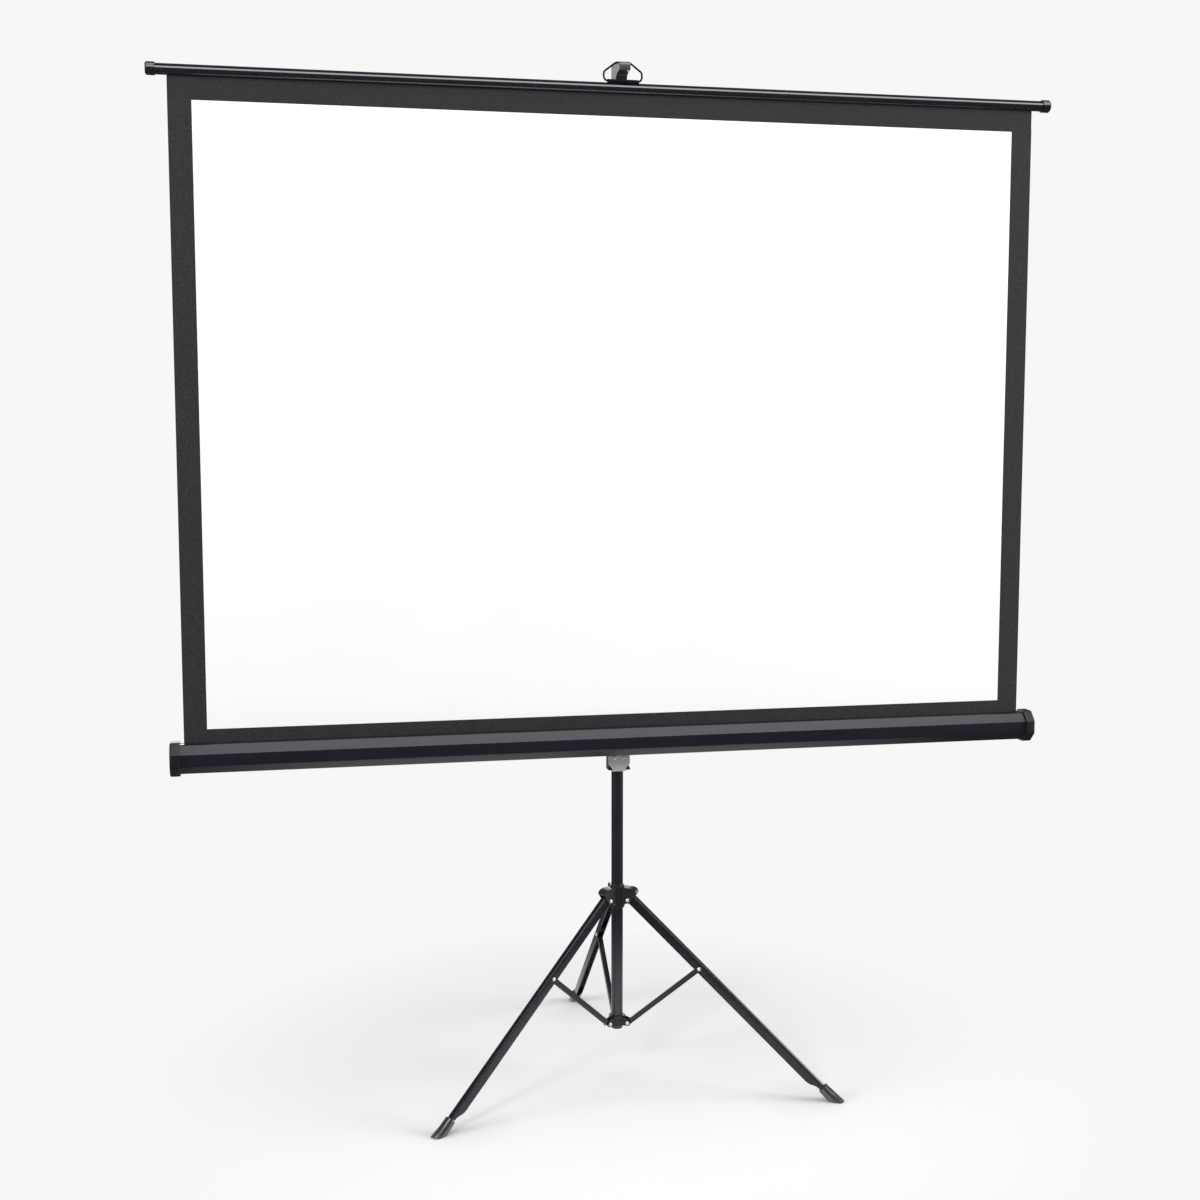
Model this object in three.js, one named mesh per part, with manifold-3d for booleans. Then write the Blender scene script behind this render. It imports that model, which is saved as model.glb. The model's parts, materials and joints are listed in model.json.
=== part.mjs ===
// Tripod projection screen: a roll-up screen in an octagonal case, on a telescopic mast with a folding tripod
// Millimetres, +Z up, the viewer looks along +Y. The origin is on the floor, on the mast's axis.
import * as THREE from "three";
import { mergeVertices } from "three/addons/utils/BufferGeometryUtils.js";
import Module from "manifold-3d";

const wasm = await Module();
wasm.setup();

// Clearances
const seatGap = 0.3; // between two pieces that rest on each other
const runGap = 0.3; // round a piece that slides or turns in another
const holeGap = 0.25; // round a rivet or a screw in its hole
const overcut = 1; // how far a cut runs past the face it opens

// Picture and fabric
const viewWidth = 1700;
const viewHeight = 1226;
const viewBottom = 802; // height of the picture's lower edge
const sideBorder = 45.5;
const topBorder = 45;
const lowerBorder = 27; // what shows above the case
const backingThick = 0.5;
const coatingThick = 0.3;

// Case
const caseFlats = 59;
const caseWall = 1.5;
const caseCornerRadius = 2.5;
const slotSetback = 5; // the slot lies behind the middle of the case
const slotWidth = 5;
const slotLip = 5;
const capFlats = 68;
const capEndWall = 6;
const capReach = 14; // how far a cap reaches over the case
const capBevel = 3;
const bossRadius = 9;
const bossLength = 12;

// Spring roller
const rollerRadius = 10;
const rollerWall = 1.2;
const rollerOverhang = 6.5; // past the fabric at each end
const woundThick = 1.3; // turns that stay on the roller
const plugFlange = 3;
const plugDepth = 25;
const shaftRadius = 3;
const shaftReach = 420;
const springWire = 1.6;
const springTurns = 10;
const springPitch = 26;

// Top slat and bail
const slatRadius = 10.75;
const slatWall = 1.4;
const slatSlot = 3;
const slatCapRadius = 13.25;
const slatCapWall = 5;
const slatCapReach = 13;
const slatOverhang = 34.5; // past the fabric at each end
const hemRodRadius = 3.5;
const saddleLength = 64;
const saddleThick = 2.2;
const knuckleRadius = 3.4;
const bailWire = 4;
const bailHalfFoot = 31;
const bailHalfWidth = 39.5;
const bailHalfTop = 14.3;
const bailLowCorner = 20; // heights above the slat's axis
const bailHighCorner = 32;
const bailTop = 51;
const bailBend = 5;
const bailTuck = 9; // wire held in each end of the knuckle

// Mast
const tubeRadius = 12.5;
const tubeWall = 1.5;
const tubeBottom = 108;
const bushWall = 0.8;
const bushLength = 30;
const extensionWall = 1.2;
const extensionOverlap = 200; // left inside the main tube
const plugLip = 3;
const plugSpigot = 15;
const travel = 630; // the mast comes down and the case goes up by this much
const parkGap = 2;

// Hook
const hookWidth = 23;
const hookReach = 19.5; // nose in front of the fabric
const hookSocketDrop = 22; // lower edge of the socket below the slat's axis
const hookSocketWall = 3;
const hookSocketDepth = 28;
const hookNoseDepth = 18;
const hookHeadRise = 3.5; // top of the head above the bail's top wire
const hookPostSet = 13; // post's front behind the fabric

// Mast lock
const lockHeight = 28;
const lockWall = 4.5;
const lockLip = 2.5;
const lockFlutes = 12;
const knobRadius = 12;
const knobLength = 14;
const knobLobes = 6;
const knobStemRadius = 3;
const lockBossRadius = 7;
const lockBossLength = 8;

// Case carriage
const blockWall = 3.2;
const blockHalfWidth = 22;
const blockBack = 17;
const blockDrop = 69.5; // lower face below the case's axis
const blockRise = 18; // upper face above the case's axis
const blockCorner = 4;
const plateThick = 2;
const plateHalfWidth = 23.4;
const plateChamferSide = 8.5;
const plateChamferRise = 10;
const plateChamferFoot = 6;
const plateLip = 5;
const plateLipHalf = 12;
const washerThick = 1.2;
const washerRadius = 12;
const boltRadius = 4;
const boltHeadRadius = 8;
const boltHeadThick = 3;
const screwSpacing = 19.6;
const screwDrop = 42.4; // below the case's axis
const screwRadius = 2;
const screwHeadRadius = 3.8;
const screwHeadThick = 2.2;
const leverPivotX = 17;
const leverPivotDrop = 59;
const leverThick = 10;
const leverBoss = 3.6;
const leverReach = 27;
const leverTail = 13;
const leverPinRadius = 1.5;

// Tripod
const pivotRadius = 26.2; // pivots of hub and collar from the mast's axis
const hubPivotZ = 392;
const collarPivotZ = 119;
const braceLength = 209.3; // also from the hub's pivot to the brace's rivet on the leg
const legDepth = 20;
const legWidth = 14;
const legWall = 1.4;
const legCorner = 3;
const legHead = 7; // leg above its pivot
const pivotEdge = 4; // pivot from the leg's open edge
const braceRivetEdge = 8; // brace's rivet from the leg's open edge
const legNarrowDepth = 10; // where it goes into the boot
const legTaper = 32;
const bootRadius = 11.6; // at its top
const bootFlare = 1.4; // how much wider it is at the floor
const bootLength = 41;
const bootGrip = 19;
const bootRound = 2.5;
const bootTip = 9; // rounding of the sole's outer end
const braceDepth = 10.5;
const braceWidth = 10;
const braceWall = 1.3;
const braceEndBlock = 9;
const rivetRadius = 2.2;
const rivetHeadRadius = 4.2;
const rivetHeadHeight = 2;

// Hub and collar
const hubWall = 2.7;
const hubTop = 31; // heights from the hub's pivot
const hubBottom = -19;
const roofTop = 27;
const roofThick = 3.2;
const roofBead = 1;
const lugReach = 19.3; // from the pivot outwards
const lugDrop = 7.5;
const cheekThick = 2.4;
const collarWall = 5.4;
const collarTop = 15; // heights from the collar's pivot
const collarBottom = -7;
const cheekRadius = 6;

const roundSteps = 32;
const smallSteps = 12;
const legAzimuths = { back: 90, left: 210, right: 330 };

// Worked-out places
const fabricWidth = viewWidth + 2 * sideBorder;
const extensionRadius = tubeRadius - tubeWall - bushWall - 2 * runGap;
const blockFront = tubeRadius + runGap + blockWall;
const plateFront = blockFront + seatGap + plateThick;
const caseBack = plateFront + 2 * seatGap + washerThick;
const caseForward = caseBack + caseFlats / 2;
const fabricForward = caseForward - slotSetback;
const woundRadius = rollerRadius + runGap + woundThick;
const springCoilRadius = shaftRadius + seatGap + springWire / 2;
const rollerForward = fabricForward + woundRadius + runGap + backingThick / 2;
const caseZ = viewBottom - lowerBorder - caseFlats / 2;
const fabricTop = viewBottom + viewHeight + topBorder;
const slatZ = fabricTop + slatRadius;
const hookSocketBottom = slatZ - hookSocketDrop;
const tubeTop = hookSocketBottom - travel - lockLip - parkGap;
const extensionBottom = tubeTop - extensionOverlap;
const rollerHalf = fabricWidth / 2 + rollerOverhang;
const plugEnd = rollerHalf + plugFlange;
const capInside = plugEnd + seatGap + bossLength;
const capEnd = capInside + capEndWall;
const caseHalf = capInside - seatGap;
const slatHalf = fabricWidth / 2 + slatOverhang;
const foldAngle = Math.acos((hubPivotZ - collarPivotZ) / 2 / braceLength);
const legSkew = Math.asin((braceRivetEdge - pivotEdge) / braceLength);
const legLean = foldAngle - legSkew;

const finishes = {
  black_tube: [0x2b2b30, 0.42, 0.6],
  black_leg: [0x303036, 0.45, 0.5],
  black_plastic: [0x232326, 0.55, 0],
  boot_rubber: [0x3a3a3d, 0.35, 0],
  case_paint: [0x2c2c33, 0.38, 0.4],
  bright_steel: [0xb4b1aa, 0.3, 0.9],
  plain_steel: [0x8c8c8c, 0.4, 0.9],
  black_fabric: [0x333336, 0.9, 0],
  white_coating: [0xf6f6f6, 0.85, 0],
  grey_hook: [0x4a4a4d, 0.45, 0],
};

// Geometry in and out of the boolean library
function solidOf(geometry) {
  const bare = geometry.clone();
  bare.deleteAttribute("normal");
  bare.deleteAttribute("uv");
  const merged = mergeVertices(bare, 1e-4);
  const mesh = new wasm.Mesh({
    numProp: 3,
    vertProperties: merged.attributes.position.array,
    triVerts: new Uint32Array(merged.index.array),
  });
  return new wasm.Manifold(mesh);
}

function geometryOf(solid) {
  const mesh = solid.getMesh();
  const geometry = new THREE.BufferGeometry();
  geometry.setAttribute("position", new THREE.BufferAttribute(mesh.vertProperties, 3));
  geometry.setIndex(new THREE.BufferAttribute(mesh.triVerts, 1));
  return geometry;
}

function join(...pieces) {
  return geometryOf(pieces.map(solidOf).reduce((sum, piece) => sum.add(piece)));
}

function cut(base, ...tools) {
  return geometryOf(tools.map(solidOf).reduce((rest, tool) => rest.subtract(tool), solidOf(base)));
}

function common(first, second) {
  return geometryOf(solidOf(first).intersect(solidOf(second)));
}

// A closed outline through points, each corner rounded by its third number
function outline(points) {
  const shape = new THREE.Shape();
  points.forEach(([x, y, round = 0], i) => {
    const here = new THREE.Vector2(x, y);
    const before = new THREE.Vector2(...points.at(i - 1).slice(0, 2));
    const after = new THREE.Vector2(...points[(i + 1) % points.length].slice(0, 2));
    const start = here.clone().add(before.sub(here).setLength(round));
    const end = here.clone().add(after.sub(here).setLength(round));
    if (i === 0) shape.moveTo(start.x, start.y);
    else shape.lineTo(start.x, start.y);
    if (round > 0) shape.quadraticCurveTo(x, y, end.x, end.y);
  });
  shape.closePath();
  return shape;
}

function extruded(shape, depth, curveSegments = 4) {
  return new THREE.ExtrudeGeometry(shape, { depth, bevelEnabled: false, curveSegments });
}

// An outline in X and Z, carried across Y and centred on it
function acrossY(shape, width, curveSegments) {
  return extruded(shape, width, curveSegments).translate(0, 0, -width / 2).rotateX(Math.PI / 2);
}

const turnToX = new THREE.Matrix4().makeBasis(
  new THREE.Vector3(0, 1, 0),
  new THREE.Vector3(0, 0, 1),
  new THREE.Vector3(1, 0, 0),
);

// An outline in Y and Z, carried along X from start to end
function alongX(shape, start, end, curveSegments) {
  return extruded(shape, end - start, curveSegments).translate(0, 0, start).applyMatrix4(turnToX);
}

// An outline in X and Y, carried up from bottom to top
function alongZ(shape, bottom, top, curveSegments) {
  return extruded(shape, top - bottom, curveSegments).translate(0, 0, bottom);
}

// A closed profile of radius and height, turned about Y as three.js does, and about Z or X
function turnedY(profile, steps = roundSteps) {
  return new THREE.LatheGeometry(profile.map(([r, h]) => new THREE.Vector2(r, h)), steps);
}

function turnedZ(profile, steps) {
  return turnedY(profile, steps).rotateX(Math.PI / 2);
}

function turnedX(profile, steps) {
  return turnedY(profile, steps).rotateZ(-Math.PI / 2);
}

function ringProfile(inner, outer, bottom, top) {
  return [
    [inner, bottom],
    [outer, bottom],
    [outer, top],
    [inner, top],
    [inner, bottom],
  ];
}

function rodProfile(radius, bottom, top) {
  return [
    [0, bottom],
    [radius, bottom],
    [radius, top],
    [0, top],
  ];
}

function box(low, high) {
  const size = low.map((value, i) => high[i] - value);
  return new THREE.BoxGeometry(...size).translate(...low.map((value, i) => (value + high[i]) / 2));
}

// A domed head on the end of a profile that runs along its axis
function dome(radius, base, height, steps = 4) {
  return Array.from({ length: steps + 1 }, (_, i) => {
    const turn = (i / steps) * (Math.PI / 2);
    return [radius * Math.cos(turn), base + height * Math.sin(turn)];
  });
}

const group = new THREE.Group();

function add(name, finish, geometry, parent = group) {
  const [color, roughness, metalness] = finishes[finish];
  const material = new THREE.MeshStandardMaterial({ color, roughness, metalness });
  const mesh = new THREE.Mesh(geometry, material);
  mesh.name = name;
  parent.add(mesh);
  return mesh;
}

// Regular octagon with flats up, down and to the sides
function octagon(flats, round) {
  const half = flats / 2;
  const side = half * Math.tan(Math.PI / 8);
  return [
    [side, -half, round],
    [half, -side, round],
    [half, side, round],
    [side, half, round],
    [-side, half, round],
    [-half, side, round],
    [-half, -side, round],
    [-side, -half, round],
  ];
}

// Screen fabric: a dark sheet with a white coating on the picture's area
function addFabric() {
  const half = fabricWidth / 2;
  const back = -fabricForward + backingThick / 2;
  const front = -fabricForward - backingThick / 2;
  const hemZ = slatZ - hemRodRadius - seatGap;
  add("screen_fabric", "black_fabric", box([-half, front, caseZ], [half, back, hemZ]));
  const coatBack = front - runGap / 3;
  const low = [-viewWidth / 2, coatBack - coatingThick, viewBottom];
  const high = [viewWidth / 2, coatBack, viewBottom + viewHeight];
  add("viewing_surface", "white_coating", box(low, high));
}

// Case: a folded octagonal tube with a slot along its top, and a moulded cap on each end
function addCase() {
  const half = caseFlats / 2;
  const inner = caseFlats - 2 * caseWall;
  const lipLow = half - slotLip;
  const wallLine = half - caseWall;
  const frontLip = slotSetback - slotWidth / 2;
  const backLip = slotSetback + slotWidth / 2;
  const skin = octagon(caseFlats, caseCornerRadius);
  const lining = octagon(inner, caseCornerRadius - caseWall / 2);
  const section = outline([
    [frontLip, half, caseWall / 2],
    ...skin.slice(4),
    ...skin.slice(0, 4),
    [backLip, half, caseWall / 2],
    [backLip, lipLow],
    [backLip + caseWall, lipLow],
    [backLip + caseWall, wallLine],
    ...lining.slice(0, 4).reverse(),
    ...lining.slice(4).reverse(),
    [frontLip - caseWall, wallLine],
    [frontLip - caseWall, lipLow],
    [frontLip, lipLow],
  ]);
  const place = (geometry) => geometry.translate(0, -caseForward, caseZ);
  const boltHole = turnedY(rodProfile(boltRadius + holeGap, -caseWall, caseWall), smallSteps);
  boltHole.translate(0, -caseBack - caseWall / 2, caseZ);
  const shell = place(alongX(section, -caseHalf, caseHalf, 2));
  add("case_shell", "case_paint", cut(shell, boltHole));

  const rim = outline(octagon(capFlats, capBevel));
  const socket = outline(octagon(caseFlats + 2 * seatGap, caseCornerRadius));
  const bevelled = { depth: capReach + capEndWall - capBevel, bevelEnabled: true, bevelSegments: 2 };
  const bevel = { bevelThickness: capBevel, bevelSize: capBevel, bevelOffset: -capBevel };
  for (const [side, turn] of [["left", Math.PI], ["right", 0]]) {
    const body = new THREE.ExtrudeGeometry(rim, { ...bevelled, ...bevel, curveSegments: 2 });
    body.translate(0, 0, capInside - capReach).applyMatrix4(turnToX);
    const flat = box([0, -capFlats, -capFlats], [capInside - capReach, capFlats, capFlats]);
    const recess = alongX(socket, 0, capInside, 2);
    const boss = turnedX(rodProfile(bossRadius, capInside - bossLength, capInside + overcut), smallSteps);
    const bore = turnedX(rodProfile(shaftRadius + holeGap, 0, capInside), smallSteps);
    const forward = turn ? rollerForward - caseForward : caseForward - rollerForward;
    boss.translate(0, forward, 0);
    bore.translate(0, forward, 0);
    const cap = cut(join(cut(body, flat, recess), boss), bore);
    cap.rotateZ(turn).translate(0, -caseForward, caseZ);
    add(`case_cap_${side}`, "black_plastic", cap);
  }
}

// Helix of the roller's return spring, along X
class SpringCurve extends THREE.Curve {
  getPoint(t, target = new THREE.Vector3()) {
    const turn = t * springTurns * 2 * Math.PI;
    const across = springCoilRadius * Math.cos(turn);
    return target.set(t * springTurns * springPitch, across, springCoilRadius * Math.sin(turn));
  }
}

// Spring roller inside the case: tube, end plugs, fixed shaft with its spring, idle pin, and the wound turns
function addRoller() {
  const place = (geometry) => geometry.translate(0, -rollerForward, caseZ);
  const bore = rollerRadius - rollerWall;
  add("roller_tube", "plain_steel", place(turnedX(ringProfile(bore, rollerRadius, -rollerHalf, rollerHalf))));
  const wound = ringProfile(rollerRadius + runGap / 2, woundRadius, -fabricWidth / 2, fabricWidth / 2);
  add("fabric_wound", "black_fabric", place(turnedX(wound)));
  const inPlug = shaftRadius + runGap;
  const plugInside = rollerHalf - plugDepth;
  const plug = [
    [inPlug, plugInside],
    [bore - seatGap, plugInside],
    [bore - seatGap, rollerHalf + seatGap],
    [rollerRadius, rollerHalf + seatGap],
    [rollerRadius, plugEnd],
    [inPlug, plugEnd],
    [inPlug, plugInside],
  ];
  for (const [side, turn] of [["left", Math.PI], ["right", 0]]) {
    add(`roller_plug_${side}`, "black_plastic", place(turnedX(plug, roundSteps / 2).rotateZ(turn)));
  }
  const shaftEnd = capInside - seatGap;
  const shaft = rodProfile(shaftRadius, -shaftEnd, -shaftEnd + shaftReach);
  add("spring_shaft", "plain_steel", place(turnedX(shaft, smallSteps)));
  add("idle_pin", "plain_steel", place(turnedX(rodProfile(shaftRadius, plugInside, shaftEnd), smallSteps)));
  const wire = new THREE.Shape().absarc(0, 0, springWire / 2, 0, 2 * Math.PI);
  const coilSteps = 8 * springTurns;
  const path = new SpringCurve();
  const coil = new THREE.ExtrudeGeometry(wire, { steps: coilSteps, extrudePath: path, curveSegments: 3 });
  const springStart = -plugInside + springWire;
  add("return_spring", "plain_steel", place(coil.translate(springStart, 0, 0)));
}

// A round wire along a bent line: straight runs with rounded corners
function bentWire(points, radius, bend, steps) {
  const path = new THREE.CurvePath();
  let last = points[0];
  for (let i = 1; i < points.length - 1; i++) {
    const corner = points[i];
    const before = corner.clone().add(last.clone().sub(corner).setLength(bend));
    const after = corner.clone().add(points[i + 1].clone().sub(corner).setLength(bend));
    path.add(new THREE.LineCurve3(last, before));
    path.add(new THREE.QuadraticBezierCurve3(before, corner, after));
    last = after;
  }
  path.add(new THREE.LineCurve3(last, points.at(-1)));
  const section = new THREE.Shape().absarc(0, 0, radius, 0, 2 * Math.PI);
  return new THREE.ExtrudeGeometry(section, { steps, extrudePath: path, curveSegments: 5 });
}

// Top slat: slotted tube with end caps and hem rod, and the wire bail that hangs it on the hook
function addSlat() {
  const place = (geometry) => geometry.translate(0, -fabricForward, slatZ);
  const slit = Math.asin(slatSlot / 2 / slatRadius);
  const section = new THREE.Shape();
  section.absarc(0, 0, slatRadius, slit - Math.PI / 2, 1.5 * Math.PI - slit);
  section.absarc(0, 0, slatRadius - slatWall, 1.5 * Math.PI - slit, slit - Math.PI / 2, true);
  section.closePath();
  const tubeHalf = slatHalf - seatGap;
  add("slat_tube", "black_tube", place(alongX(section, -tubeHalf, tubeHalf, roundSteps / 2)));
  const rod = rodProfile(hemRodRadius, -fabricWidth / 2, fabricWidth / 2);
  add("hem_rod", "plain_steel", place(turnedX(rod, smallSteps)));
  const inner = slatRadius + seatGap;
  const mouth = slatHalf - slatCapReach;
  const end = slatHalf + slatCapWall;
  const cap = [
    [0, slatHalf],
    [inner, slatHalf],
    [inner, mouth],
    [slatCapRadius, mouth],
    [slatCapRadius, end - slatCapWall / 2],
    [slatCapRadius - slatCapWall / 2, end],
    [0, end],
  ];
  for (const [side, turn] of [["left", Math.PI], ["right", 0]]) {
    add(`slat_cap_${side}`, "black_plastic", place(turnedX(cap, roundSteps / 2).rotateZ(turn)));
  }

  const saddleInner = slatRadius + seatGap;
  const saddleOuter = saddleInner + saddleThick;
  const hug = Math.PI / 4;
  const arch = new THREE.Shape();
  arch.absarc(0, 0, saddleOuter, hug, Math.PI - hug);
  arch.absarc(0, 0, saddleInner, Math.PI - hug, hug, true);
  arch.closePath();
  const knuckleZ = saddleInner + knuckleRadius;
  const knuckle = turnedX(rodProfile(knuckleRadius, -saddleLength / 2, saddleLength / 2), smallSteps);
  const wireHole = turnedX(rodProfile(bailWire / 2 + holeGap, -saddleLength, saddleLength), smallSteps);
  const below = turnedX(rodProfile(saddleInner, -saddleLength, saddleLength));
  const saddle = join(alongX(arch, -saddleLength / 2, saddleLength / 2, 8), knuckle.translate(0, 0, knuckleZ));
  add("bail_saddle", "plain_steel", place(cut(saddle, wireHole.translate(0, 0, knuckleZ), below)));
  const half = [
    [saddleLength / 2 - bailTuck, knuckleZ],
    [bailHalfFoot + bailWire, knuckleZ],
    [bailHalfWidth, bailLowCorner],
    [bailHalfWidth, bailHighCorner],
    [bailHalfTop, bailTop],
  ];
  const left = half.map(([x, z]) => new THREE.Vector3(-x, 0, z));
  const right = half.map(([x, z]) => new THREE.Vector3(x, 0, z)).reverse();
  add("bail", "black_tube", place(bentWire([...left, ...right], bailWire / 2, bailBend / 2, 36)));
}

// Mast: main tube with its foot plug, and the extension tube with its guide bush
function addMast() {
  const knobZ = tubeTop - lockHeight / 2;
  const bore = tubeRadius - tubeWall;
  const tube = turnedZ(ringProfile(bore, tubeRadius, tubeBottom, tubeTop));
  const stemHole = turnedY(rodProfile(knobStemRadius + holeGap, 0, tubeRadius * 2), smallSteps);
  add("main_tube", "black_tube", cut(tube, stemHole.translate(0, 0, knobZ)));
  const lip = tubeBottom - seatGap;
  const plug = [
    [0, lip - plugLip],
    [tubeRadius - plugLip / 3, lip - plugLip],
    [tubeRadius, lip - plugLip / 2],
    [tubeRadius, lip],
    [bore - seatGap, lip],
    [bore - seatGap, lip + plugSpigot],
    [0, lip + plugSpigot],
  ];
  add("tube_plug", "black_plastic", turnedZ(plug));
  const extensionTop = hookSocketBottom + hookSocketDepth - seatGap;
  const inside = extensionRadius - extensionWall;
  const extension = ringProfile(inside, extensionRadius, extensionBottom, extensionTop);
  add("extension_tube", "black_tube", turnedZ(extension));
  const bushInner = extensionRadius + runGap / 2;
  const bush = ringProfile(bushInner, bore - runGap, extensionBottom, extensionBottom + bushLength);
  add("guide_bush", "black_plastic", turnedZ(bush));
}

// Hook: moulded head on the extension tube, with a saddle for the bail behind its nose
function addHook() {
  const nose = -fabricForward - hookReach;
  const restZ = slatZ + bailTop - bailWire / 2 - seatGap;
  const top = slatZ + bailTop + hookHeadRise;
  const noseLow = restZ + bailWire / 2 - hookNoseDepth;
  const back = extensionRadius + hookSocketWall;
  const post = -fabricForward + hookPostSet;
  const shoulder = slatZ + slatRadius + hookNoseDepth / 2;
  const head = new THREE.Shape();
  head.moveTo(back, hookSocketBottom + hookSocketDepth);
  head.lineTo(back, top - hookHeadRise);
  head.quadraticCurveTo(back, top, back - hookHeadRise, top);
  head.lineTo(post - hookHeadRise, top);
  head.quadraticCurveTo(-fabricForward + 2 * bailWire, top, -fabricForward + bailWire, restZ + bailWire / 2);
  head.quadraticCurveTo(-fabricForward + bailWire / 2, restZ, -fabricForward, restZ);
  head.quadraticCurveTo(-fabricForward - bailWire, restZ, -fabricForward - 2 * bailWire, restZ + bailWire / 2);
  head.quadraticCurveTo(nose, restZ + bailWire / 2, nose, restZ - bailWire);
  head.lineTo(nose, noseLow + bailWire);
  head.quadraticCurveTo(nose, noseLow, nose + bailWire, noseLow);
  head.lineTo(nose + hookHeadRise, noseLow);
  head.quadraticCurveTo(post, noseLow, post, shoulder);
  head.quadraticCurveTo(post, hookSocketBottom, -back + hookSocketWall, hookSocketBottom);
  head.lineTo(0, hookSocketBottom);
  head.lineTo(0, hookSocketBottom + hookSocketDepth);
  head.closePath();
  const side = alongX(head, -hookWidth / 2, hookWidth / 2);
  const socketTop = hookSocketBottom + hookSocketDepth;
  const sleeve = turnedZ(rodProfile(back, hookSocketBottom, socketTop + hookHeadRise));
  const socket = rodProfile(extensionRadius + seatGap, hookSocketBottom - overcut, socketTop);
  add("hook", "grey_hook", cut(join(side, sleeve), turnedZ(socket)));
}

// Mast lock: fluted collar on the main tube's top, with a lobed clamp knob at the back
function addLock() {
  const bottom = tubeTop - lockHeight;
  const knobZ = tubeTop - lockHeight / 2;
  const outer = tubeRadius + seatGap + lockWall;
  const collar = turnedZ([
    [tubeRadius + seatGap / 2, bottom],
    [outer, bottom],
    [outer, tubeTop],
    [outer - lockLip, tubeTop + lockLip],
    [extensionRadius + runGap, tubeTop + lockLip],
    [extensionRadius + runGap, tubeTop + seatGap],
    [tubeRadius + seatGap / 2, tubeTop + seatGap],
    [tubeRadius + seatGap / 2, bottom],
  ]);
  const bossEnd = outer + lockBossLength;
  const boss = turnedY(rodProfile(lockBossRadius, tubeRadius + lockWall / 2, bossEnd), smallSteps);
  const flutes = Array.from({ length: lockFlutes }, (_, i) => {
    const turn = ((i + 0.5) / lockFlutes) * 2 * Math.PI;
    const flute = turnedZ(rodProfile(lockWall / 3, bottom + lockLip, tubeTop - lockLip), smallSteps / 2);
    return flute.translate(outer * Math.cos(turn), outer * Math.sin(turn), 0);
  }).filter((_, i) => Math.abs(i + 0.5 - lockFlutes / 4) > 1);
  const stemHole = turnedY(rodProfile(knobStemRadius + runGap, 0, bossEnd + overcut), smallSteps);
  const bossed = join(cut(collar, ...flutes), boss.translate(0, 0, knobZ));
  add("lock_collar", "black_plastic", cut(bossed, stemHole.translate(0, 0, knobZ)));

  const knobStart = bossEnd + seatGap;
  const lobes = new THREE.Shape();
  for (let i = 0; i < knobLobes; i++) {
    const at = (share) => {
      const turn = ((i + share) / knobLobes) * 2 * Math.PI;
      const radius = share === 0.5 ? knobRadius - knobStemRadius : knobRadius;
      return [radius * Math.cos(turn), radius * Math.sin(turn)];
    };
    if (i === 0) lobes.moveTo(...at(0));
    lobes.quadraticCurveTo(...at(0.5), ...at(1));
  }
  const grip = acrossY(lobes, knobLength, 3).translate(0, knobStart + knobLength / 2, 0);
  const stem = turnedY(rodProfile(knobStemRadius, extensionRadius + seatGap, knobStart + overcut), smallSteps);
  add("lock_knob", "black_plastic", join(grip, stem).translate(0, 0, knobZ));
}

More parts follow.
